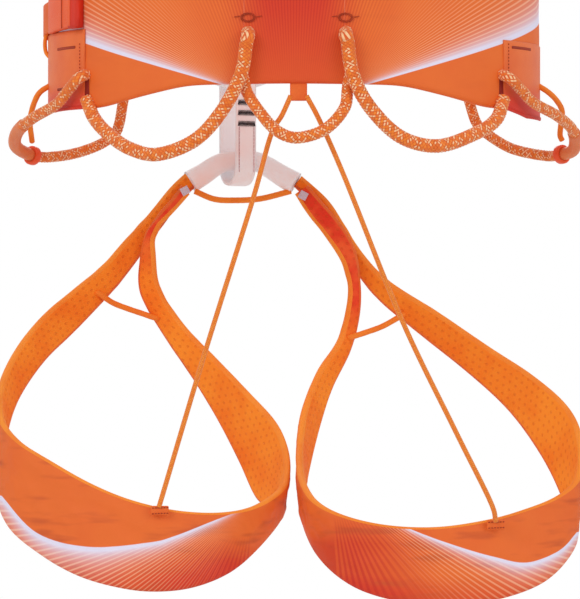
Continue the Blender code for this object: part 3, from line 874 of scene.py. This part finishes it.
def leg_print(side, point):
    """Print on a leg band: a streak with a sharp upper edge, and fine rays below it."""
    x, y, z = point
    look = LEG_PRINTS[side]
    out = x * look["sign"]
    behind = y > 0
    edge = np.interp(x, STREAKS[side][:, 0], STREAKS[side][:, 2])
    rays_out, rays_height = look["rays"]
    ray = math.degrees(math.atan2(rays_height - z, max(out - rays_out, 2.0))) / 1.5
    reach, white_from, growth = look["white"]
    middle, half_width, red_height, red_depth = look["red"]
    red = max(0.0, 1.0 - abs(out - middle) / half_width) * clamp((red_height - z) / red_depth)
    base = clamp((look["base"] - z) / 14.0)
    return {"above": edge - z if behind else -5.0,
            "reach": 0.5 + reach * clamp((out - white_from) / growth) if behind else 0.3,
            "ray": ray,
            "fan": ray * 0.45,
            "fan_depth": 0.7 * red,
            "red": min(1.0, 0.1 + 0.7 * red + 0.6 * base if behind else 0.15),
            # Painted shade in the leg bands' creases.
            "crease_shade": 0.7,
            "ink": clamp((out - look["ink"]) / 16.0)}


def build_leg(side, stations):
    """A leg band: gathered at its sewn ends, creased along its length, red inside its inner limb."""
    upper, lower, normals = leg_lines(stations, 12)
    along_band = lengths_along((upper + lower) / 2)
    near_end = np.exp(-np.minimum(along_band, along_band[-1] - along_band) / 38.0)
    gather = near_end * np.sin(along_band / 3.2 + 1.2 * np.sin(along_band / 7.0))
    upper = upper + normals * (gather * 2.0)[:, None]
    lower = lower - normals * (gather * 1.2)[:, None]

    def fold(point, along):
        slanted = (point[0] * 0.5 - point[2], point[1], point[2] * 0.35 + point[0] * 0.12)
        return crumple(slanted, 12.0, 1.0, 11.0) + crumple(point, 7.0, 0.18, 5.0)

    covered = tuple(f"{side}_leg_{part}" for part in ("shell", "lining", "load_tape"))
    piece, grid, _ = padded_band(f"{side}_leg_band", upper, lower, normals, LEG_THICK, 30, fold,
                                 (PRINT, EDGE, LINING), f"{side}_leg", covered)
    values = []
    blush = []
    for i, row in enumerate(grid):
        inner_limb = clamp((i / len(grid) - 0.7) / 0.04)
        values += [leg_print(side, point) for point in row]
        blush += [inner_limb * clamp((point[2] + BLUSH_END[side]) / 30.0) for point in row]
    print_fields(piece.data, values)
    add_field(piece.data, "blush", blush)


build_belt()
build_leg("left", LEFT_LEG)
build_leg("right", RIGHT_LEG)

# ---------------------------------------------------------------- cords


def braided_tube(name, path, radius, braid, relief, taper=None):
    """A closed round tube along a path in millimetres, with the relief of crossing braid strands."""
    strands, pitch = braid
    sides = 4 * strands
    along = lengths_along(path)
    frames = tube_frames(path)
    grid = []
    uv = []
    for i, (first, second) in enumerate(frames):
        size = radius * (taper(along[i] / along[-1]) if taper else 1.0)
        row = []
        coordinates = []
        for k in range(sides):
            v = k / sides
            right = (along[i] * strands / pitch + v * strands) % 1.0
            left = (along[i] * strands / pitch - v * strands) % 1.0
            edge = max(abs(right - 0.5), abs(left - 0.5)) * 2
            lift = relief * (0.5 - edge ** 3)
            a = 2 * math.pi * v
            row.append(path[i] + (first * math.cos(a) + second * math.sin(a)) * (size + lift))
            coordinates.append((along[i] * MM, v))
        grid.append(row)
        uv.append(coordinates)
    mesh = grid_mesh(name, grid, uv, caps=True)
    return outwards(mesh)


def route_length(route):
    return float(lengths_along(even_points(route, 240))[-1])


def add_cord(name, route, diameter, looks, replaced, body=None, between=None,
             relief=0.3, step=0.6):
    """A cord of the frame as a braided tube that rides on a body; given two bodies to bend between, it
    only has its transform baked.
    """
    material, braid = looks
    path = even_points(route, int(route_length(route) / step))
    mesh = braided_tube(name, path, diameter / 2, braid, relief)
    piece = put(name, mesh, material, body, replaced)
    if between:
        first, second, start, end = between
        Vector(start) * MM
        Vector(end) * MM
        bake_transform(piece)
    return piece


# The rear gear loops come out of the belt this far below their routes' first point.
REAR_ENTRY_DROP = 8


def gear_loop(name, route, diameter, lead_in, lead_out):
    """A gear loop; both ends run into the belt."""
    body = name.replace("_loop", "")
    middle = (np.array(route[0]) + np.array(route[-1])) / 2
    axis = unit(np.array(route[-1], dtype=float) - np.array(route[0]))
    hang = np.array(route, dtype=float).mean(axis=0) - middle
    hang = unit(hang - axis * np.dot(hang, axis))
    between = ("waist_belt", body, middle - hang * 1.0, middle + hang * 20.0)
    if name in ("gear_loop_rear_left", "gear_loop_rear_right"):
        x, y, z = route[0]
        route = [(x, y, z - REAR_ENTRY_DROP), *route[1:]]
    add_cord(name + "_rope", [*lead_in, *route, *lead_out], diameter, THICK_BRAID, (name,),
             between=between, relief=0.45, step=0.5)


def build_gear_loops():
    """Five braided loops; the front ones carry a smooth sleeve, a sliding disc and its cord."""
    gear_loop("gear_loop_front_left", GEAR_FRONT_LEFT, 6.4, [(121, 56, -47)],
              [(109, -69, -58), (106, -70, -42)])
    gear_loop("gear_loop_front_right", GEAR_FRONT_RIGHT, 6.4, [(-121, 56, -47)],
              [(-112, -67, -58), (-108, -69, -42)])
    gear_loop("gear_loop_rear_left", GEAR_REAR_LEFT, 7.8, [(27, 99, -25)], [(124, 60, -62)])
    gear_loop("gear_loop_rear_right", GEAR_REAR_RIGHT, 7.8, [(-30, 99, -25)], [(-125, 60, -62)])
    gear_loop("gear_loop_rear_centre", GEAR_REAR_CENTRE, 6.6, [(29, 100, -48)], [(-32, 100, -48)])
    for side, sign, route, cord in (("left", 1, GEAR_FRONT_LEFT, SEPARATOR_LEFT),
                                    ("right", -1, GEAR_FRONT_RIGHT, SEPARATOR_RIGHT)):
        fine = even_points(route, 401)
        ring_place = RING_PLACE * 4
        path = fine[SLEEVE_START[side] * 4:ring_place + 5:2]
        mesh = braided_tube(f"gear_sleeve_skin_{side}", path, 3.9, (8, 3.0), 0.12)
        put(f"gear_sleeve_skin_{side}", mesh, SLEEVE, f"gear_front_{side}",
            (f"gear_sleeve_{side}",))
        along = unit(fine[ring_place + 1] - fine[ring_place - 1])
        mesh = turned_ring(f"separator_disc_{side}", fine[ring_place], along, 3.7, 6.0, 4.6)
        put(f"separator_disc_{side}", mesh, RING, f"separator_{side}",
            (f"separator_ring_{side}",))
        path = [(sign * 147, 12, -50), *cord, tuple(fine[ring_place] + np.array([0, 3.5, 8.6]))]
        between = ("waist_belt", f"gear_front_{side}", (sign * 152, 12, -52), (sign * 162, -14, -80))
        add_cord(f"separator_line_{side}", path, 3.4, SMOOTH_BRAID, (f"separator_cord_{side}",),
                 between=between, relief=0.08)


def turned_ring(name, centre, along, inner, outer, thick):
    """A ring with rounded rims, turned about the line of the cord that goes through it."""
    first = unit(np.cross(along, (0.1, 0.3, 1.0)))
    second = np.cross(along, first)
    mid = (inner + outer) / 2
    half = (outer - inner) / 2
    grid = []
    uv = []
    for a in np.linspace(0, 2 * math.pi, 48, endpoint=False):
        out = first * math.cos(a) + second * math.sin(a)
        row = []
        for b in np.linspace(0, 2 * math.pi, 20, endpoint=False):
            across, rise = squarish(b, 0.6)
            row.append(centre + out * (mid + across * half) + along * (rise * thick / 2))
        grid.append(row)
        uv.append([(a * mid * MM, b * half * MM) for b in np.linspace(0, 2 * math.pi, 20)])
    mesh = grid_mesh(name, grid, uv, closed_rows=True)
    return outwards(mesh)


# ---------------------------------------------------------------- stitching and small trim


def threads(name, paths, radius, material, body, replaced=()):
    """Many short stitches as one piece: each path is a thin thread."""
    vertices = []
    faces = []
    sides = 6
    for path in paths:
        path = np.array(path, dtype=float)
        frames = tube_frames(path, (0.31, 0.2, 0.9))
        start = len(vertices)
        for point, (first, second) in zip(path, frames):
            for k in range(sides):
                a = 2 * math.pi * k / sides
                vertices.append((point + (first * math.cos(a) + second * math.sin(a)) * radius) * MM)
        for i in range(len(path) - 1):
            for k in range(sides):
                k2 = (k + 1) % sides
                a = start + i * sides
                faces.append((a + k, a + k2, a + sides + k2, a + sides + k))
        faces.append(tuple(start + k for k in range(sides))[::-1])
        last = start + (len(path) - 1) * sides
        faces.append(tuple(last + k for k in range(sides)))
    mesh = bpy.data.meshes.new(name)
    mesh.from_pydata([tuple(v) for v in vertices], [], faces)
    mesh.shade_smooth()
    flat_uv(mesh)
    return put(name, outwards(mesh), material, body, replaced)


def stitch_row(points, length, gap):
    """Short threads one behind another along a line of points."""
    path = np.array(points, dtype=float)
    along = lengths_along(path)
    rows = []
    start = 0.0
    while start + length <= along[-1] + 0.01:
        spots = np.linspace(start, start + length, 4)
        rows.append(np.stack([np.interp(spots, along, path[:, k]) for k in range(3)], axis=1))
        start += length + gap
    return rows


def belt_line(start, stop, low, high, out, count=24):
    """A line on the belt between two angles and two heights, lifted a little."""
    places = zip(np.linspace(start, stop, count), np.linspace(low, high, count))
    return [belt_point(a, z, out) for a, z in places]


# How far the rounded edge of a patch or strap stands out, in millimetres.
SOFT_EDGE = 0.5


def slab(name, rows, normals, thick, material, body, replaced=()):
    """A flat cloth patch or strap: a grid of points given thickness, with rounded edges."""
    grid = np.array(rows, dtype=float)
    along = lengths_along(grid.mean(axis=1))
    loop = []
    uv = []
    for i, row in enumerate(grid):
        across = unit(row[0] - row[-1])
        normal = normals[i]
        width = np.linalg.norm(row[0] - row[-1])
        outer = [p + normal * thick / 2 for p in row]
        inner = [p - normal * thick / 2 for p in row[::-1]]
        low_edge = row[-1] - across * SOFT_EDGE
        high_edge = row[0] + across * SOFT_EDGE
        loop.append([*outer, low_edge, *inner, high_edge])
        spots = list(np.linspace(width / 2, -width / 2, len(row)))
        uv.append([(along[i] * MM, s * MM) for s in [*spots, spots[-1], *spots[::-1], spots[0]]])
    mesh = grid_mesh(name, loop, uv, caps=True)
    return put(name, outwards(mesh), material, body, replaced)


def belt_slab(name, start, stop, low, high, out, thick, material, body, replaced=(),
              count=40, across=12):
    """A slab that follows the belt; low, high and out may be numbers or functions of the angle."""
    def at(value, angle):
        return value(angle) if callable(value) else value

    rows = []
    normals = []
    for angle in np.linspace(start, stop, count):
        heights = np.linspace(at(high, angle), at(low, angle), across)
        rows.append([belt_point(angle, z, at(out, angle)) for z in heights])
        normals.append(belt_normal(angle))
    return slab(name, rows, normals, thick, material, body, replaced)


def tail_level(angle_deg):
    """Mid-height of the strap's tail, which climbs a little from the buckle to the keeper."""
    return float(np.interp(angle_deg, [-44, 27], [BUCKLE_LEVEL, -9]))


def rounded_block(name, centre, size, material, body, replaced=(), turn=None, round_by=0.8):
    """A box with rounded edges, in millimetres, turned about its centre."""
    mesh = bpy.data.meshes.new(name)
    bm = bmesh.new()
    bmesh.ops.create_cube(bm, size=1.0)
    bmesh.ops.scale(bm, vec=Vector(size) * MM, verts=bm.verts)
    bmesh.ops.bevel(bm, geom=bm.edges[:], offset=round_by * MM, segments=3, affect="EDGES", profile=0.5)
    bmesh.ops.transform(bm, matrix=turn or Matrix.Identity(4), verts=bm.verts)
    bmesh.ops.translate(bm, vec=Vector(centre) * MM, verts=bm.verts)
    bm.to_mesh(mesh)
    bm.free()
    mesh.shade_smooth()
    flat_uv(mesh)
    return put(name, mesh, material, body, replaced)


def build_patches():
    """Patches for tool holders, low on the belt's sides, with slots, stitches and a folded hem."""
    for side, start, stop, sign in (("left", 4, 34, 1), ("right", 176, 146, -1)):
        flare = 0.0 if side == "left" else 4.5

        def low(angle):
            return belt_lower(angle) + 1.5 - flare * min(1.0, abs(angle - stop) / 12.0)

        top = -21.0 if side == "left" else -27.5
        belt_slab(f"tool_patch_cloth_{side}", start, stop, low, top, 0.7, 0.9, PATCH, "waist_belt",
                  (f"tool_patch_{side}",), across=20)
        belt_slab(f"tool_patch_hem_{side}", start, stop, lambda a: low(a) - 1.4, low, 0.9, 1.6, RED,
                  "waist_belt", across=4)
        # Painted shadow: a thin dark strip on the belt past the patch's rear end, where the patch's
        # standing edge casts shade.
        belt_slab(f"patch_shadow_strip_{side}", stop, stop + sign * 1.6, lambda a: low(a) + 4, -50.0, 0.4, 0.5,
                  SHADOW, "waist_belt")
        # Each slot is a thin dark line: painted shade in the slot's opening.
        slots = ((-30.9, 0.5, 0.14), (-55.3, 0.5, 0.3)) if side == "left" else ((-31.0, 0.5, 0.12),)
        for number, (level, near, far) in enumerate(slots, 1):
            a = stop + (start - stop) * near
            b = stop + (start - stop) * far
            belt_slab(f"tool_slot_{side}_{number}", a, b, level - 0.3, level + 0.3, 1.3, 0.3, DARK_THREAD_AND_SLOT_SHADE,
                      "waist_belt", across=3)
        line = belt_line(stop - sign * 2, stop - sign * 2, -29, -46, 1.4)
        paths = stitch_row(line, 0.9, 1.1)
        threads(f"patch_stitches_{side}", paths, 0.28, THREAD if side == "left" else DARK_THREAD_AND_SLOT_SHADE, "waist_belt")


def build_strap():
    """Waist strap: out of the buckle, round the side and into the keeper."""
    belt_slab("waist_strap_band", -126, -54, -26, -6, -2.0, 2.0, TRIM, "waist_belt",
              ("waist_strap",), count=80)
    belt_slab("waist_strap_tail_band", -46, 27, lambda a: tail_level(a) - TAIL_HALF_WIDTH,
              lambda a: tail_level(a) + TAIL_HALF_WIDTH,
              lambda a: TAIL_OUT + 1.2 * math.exp(-((a + 4) / 16) ** 2), 1.6, TRIM, "waist_belt",
              ("waist_strap_tail",), count=80)
    block = []
    uv = []
    for i, angle in enumerate(np.linspace(14.0, 31.0, 20)):
        level = tail_level(min(angle, 27.0))
        thick = 1.6 + 1.7 * i / 19
        ring = []
        for k in range(32):
            out, rise = squarish(2 * math.pi * k / 32, 0.22)
            ring.append(belt_point(angle, level + rise * 10.6, 0.7 + thick + out * thick))
        block.append(ring)
        uv.append([(i * 2.4 * MM, k * 2.0 * MM) for k in range(32)])
    mesh = grid_mesh("keeper_sleeve", block, uv, caps=True)
    put("keeper_sleeve", outwards(mesh), SALMON, "keeper", ("strap_keeper",))
    belt_slab("keeper_fold", 30.0, 33.4, -19.6, 1.6, 3.9, 6.2, RED, "keeper", count=6)
    belt_slab("keeper_seam", 26.4, 26.8, -19.0, 1.2, 6.6, 0.3, THREAD, "keeper",
              count=3)
    loop = [belt_point(7, -18, 1.5), belt_point(5, -21, 2.6), belt_point(4, -26, 3.0),
            belt_point(4, -31, 2.2), belt_point(5, -35, -1.0)]
    add_cord("keeper_elastic", loop, 2.4, SMOOTH_BRAID, (), body="waist_belt", relief=0.05)


def frame_mesh(name, out, size, opening, thick):
    """A flat rounded metal frame with one opening, standing on the belt."""
    def ring(width, tall, depth):
        points = []
        for k in range(64):
            y, z = squarish(2 * math.pi * k / 64, 0.3)
            points.append((y * width / 2, z * tall / 2, depth))
        return points

    rounding = 0.35
    outer_w, outer_t = size
    inner_w, inner_t = opening
    top = thick / 2
    profile = (ring(outer_w, outer_t, -top + rounding), ring(outer_w, outer_t, top - rounding),
               ring(outer_w - rounding, outer_t - rounding, top),
               ring(inner_w + rounding, inner_t + rounding, top),
               ring(inner_w, inner_t, top - rounding), ring(inner_w, inner_t, -top + rounding),
               ring(inner_w + rounding, inner_t + rounding, -top),
               ring(outer_w - rounding, outer_t - rounding, -top))
    normal = belt_normal(BUCKLE_DEG)
    side = np.array([-normal[1], normal[0], 0.0])
    centre = belt_point(BUCKLE_DEG, BUCKLE_LEVEL, out)
    grid = [[centre + side * y + np.array([0, 0, z]) + normal * depth for y, z, depth in points]
            for points in profile]
    uv = [[(k * MM, i * MM) for k in range(64)] for i in range(len(profile))]
    mesh = grid_mesh(name, grid, uv, closed_rows=True)
    return outwards(mesh)


def build_buckle():
    """Two metal frames: one on the belt, and one that tilts on it."""
    base = frame_mesh("buckle_base", 3.6, (18, 30), (9, 21), 2.0)
    put("buckle_base", base, METAL, "waist_belt", ("buckle_base_frame",))
    front = frame_mesh("buckle_front_plate", 6.6, (14, 27), (6, 20), 1.8)
    put("buckle_front_plate", front, METAL, "buckle_front", ("buckle_front_frame",))


def stitched_eye(name, x, z):
    """A small oval of dark stitches over a gear loop's inner end."""
    paths = []
    for k in range(14):
        a = 2 * math.pi * k / 14
        b = a + 0.75
        spots = []
        for t in np.linspace(0, 1, 4):
            c = a + (b - a) * t
            size = 1.0 if t < 0.5 else 0.72
            px = x + 4.4 * size * math.cos(c)
            spots.append((px, belt_back_depth(px) + 0.95, z + 2.7 * size * math.sin(c)))
        paths.append(spots)
    for offset in (-6.5, 6.5):
        px = x + offset
        depth = belt_back_depth(px)
        paths.append([(px - 1.6, depth + 0.8, z + 0.9), (px, depth + 0.9, z + 0.6),
                      (px + 1.6, depth + 0.8, z + 0.4)])
    threads(name, paths, 0.24, DARK_THREAD_AND_SLOT_SHADE, "waist_belt")


def belt_back_depth(x):
    """Depth of the belt's face at the back, at a distance across from the middle."""
    return WAIST_HALF_DEPTH * math.sqrt(1 - (x / WAIST_HALF_WIDTH) ** 2)


EYE_LEVEL = -17.6


def build_back_trim():
    stitched_eye("rope_eye_left", 27.0, EYE_LEVEL)
    stitched_eye("rope_eye_right", -30.0, EYE_LEVEL)
    rounded_block("riser_tab_cloth", (-2.5, 101.3, -60.5), (10, 3.4, 11), TRIM, "waist_belt",
                  ("riser_tab",), round_by=1.0)
    for side, anchor in (("left", (79, 89.3, -306)), ("right", (-119, 80.5, -315))):
        x, y, z = anchor
        rounded_block(f"{side}_anchor_cloth", anchor, (10.5, 1.8, 5.6), TRIM, f"{side}_leg",
                      (f"{side}_riser_anchor",))
        depth = y + 1.15
        paths = [*stitch_row([(x - 5, depth, z + 1.9), (x + 5, depth, z + 1.5)], 1.0, 0.7),
                 *stitch_row([(x - 5, depth, z - 1.5), (x + 5, depth, z - 1.9)], 1.0, 0.7)]
        threads(f"{side}_anchor_stitches", paths, 0.3, DARK_THREAD_AND_SLOT_SHADE, f"{side}_leg")


def build_leg_cords():
    """Risers at the back and the elastic cords that join each leg band's two limbs."""
    for side, route, top, bottom in (("left", RISER_LEFT, (2, 102, -63), (79.5, 90.2, -304)),
                                     ("right", RISER_RIGHT, (-7, 102, -63), (-119, 82.2, -313))):
        add_cord(f"{side}_riser", [top, *route[1:-1], bottom], 2.9, THIN_BRAID,
                 (f"{side}_riser_cord",), between=("waist_belt", f"{side}_leg", top, bottom),
                 relief=0.12)
    left_path = [(127.4, -80.0, -178.6), *ELASTIC_LEFT, (86.2, -81.4, -193.4)]
    right_path = [(-33.4, -75.8, -206.5), *ELASTIC_RIGHT, (-71.4, -86.0, -191.5)]
    for side, path in (("left", left_path), ("right", right_path)):
        add_cord(f"{side}_elastic", path, 3.6, SMOOTH_BRAID, (f"{side}_elastic_cord",),
                 body=f"{side}_leg", relief=0.08)
    bridge = [(64, -101, -112), *BRIDGE[1:-1], (2, -102, -112)]
    add_cord("tie_in_bridge", bridge, 3.8, SMOOTH_BRAID, ("leg_bridge_cord",), body="waist_belt",
             relief=0.08)


# ---------------------------------------------------------------- belay loop and tie-in points


def belay_axes():
    """Directions across the belay loop: from one strand to the other, and along the webbing's width."""
    a = math.radians(BELAY_TURN_DEG)
    return np.array([math.sin(a), math.cos(a), 0.0]), np.array([math.cos(a), -math.sin(a), 0.0])


def build_belay():
    """The belay loop: a band of webbing round both tie-in points, with bar tacks and seams."""
    apart, across = belay_axes()
    centre = np.array([BELAY_X, BELAY_Y, 0.0])
    up = np.array([0.0, 0.0, 1.0])
    path = []
    normals = []
    straight = np.linspace(0, 1, 26)[1:-1]
    for level, start in ((BELAY_TOP, 0.0), (BELAY_BOTTOM, math.pi)):
        for t in np.linspace(0, math.pi, 33):
            turn = start + t
            out = apart * math.cos(turn) + up * math.sin(turn)
            path.append(centre + up * level + out * BELAY_RADIUS)
            normals.append(out)
        other = BELAY_BOTTOM if level == BELAY_TOP else BELAY_TOP
        sign = math.cos(start + math.pi)
        for t in straight:
            height = level + (other - level) * t
            path.append(centre + apart * sign * BELAY_RADIUS + up * height)
            normals.append(apart * sign)
    path = np.array(path)
    normals = np.array(normals)
    along = lengths_along(path)
    half = BELAY_WIDTH / 2
    grid = []
    uv = []
    for i in range(len(path)):
        ring = []
        places = []
        for face in (1, -1):
            for t in np.linspace(face, -face, 13):
                lift = face * BELAY_THICK / 2 * (1 - 0.35 * t ** 6)
                ring.append(path[i] + across * half * t + normals[i] * lift)
                places.append((along[i] * MM, t * half * MM))
        grid.append(ring)
        uv.append(places)
    mesh = grid_mesh("belay_webbing", grid, uv, closed_rows=True)
    put("belay_webbing", outwards(mesh), WHITE, "belay_loop", ("belay_loop_webbing",))
    face = centre + apart * (BELAY_RADIUS + BELAY_THICK / 2 + 0.25)
    for number, level in enumerate(BAR_TACK_LEVELS, 1):
        zigzag = []
        for k in range(29):
            spot = face + across * (5.8 - 11.6 * k / 28)
            zigzag.append(spot + up * (level + (1.5 if k % 2 else -1.5)))
        threads(f"bar_tack_{number}", [zigzag], 0.42, INK, "belay_loop",
                (f"belay_bar_tack_{number}",))
    seams = []
    for side in (-1, 1):
        line = [face + across * side * 5.2 + up * z for z in np.linspace(-71, -100, 30)]
        seams += stitch_row(line, 2.0, 0.25)
    threads("belay_seams", seams, 0.16, SEAM, "belay_loop")


def build_tie_in():
    """The lower tie-in: a stuffed white tube from one leg's end, under the belay loop, to the other."""
    route = [(67, -104, -106), *ARCH[:-1], (6, -105, -103), (-1, -104, -107)]

    def swell(t):
        return 1.0 - 0.16 * math.sin(math.pi * t)

    path = even_points(route, 150)
    mesh = braided_tube("tie_in_tube", path, 7.4, TUBE_STRANDS, 0.05, swell)
    put("tie_in_tube", mesh, TIE_IN_CLOTH, "belay_loop", ("lower_tie_in_arch",))
    path = even_points([(62, -96.5, -24), *UPPER_TIE, (10, -103.5, -24)], 130)
    mesh = braided_tube("upper_tie_tube", path, 5.0, TUBE_STRANDS, 0.05)
    put("upper_tie_tube", mesh, TIE_IN_CLOTH, "waist_belt", ("upper_tie_in",))
    for side, place, turn in (("left", (70, -93.2, -112), 0.5), ("right", (-6, -93.2, -115), -0.5)):
        rounded_block(f"{side}_label", place, (5.4, 0.9, 5.2), LABEL, f"{side}_leg",
                      (f"{side}_end_label",), turn=Matrix.Rotation(turn, 4, "Y"), round_by=0.3)


build_gear_loops()
build_patches()
build_strap()
build_buckle()
build_back_trim()
build_leg_cords()
build_belay()
build_tie_in()
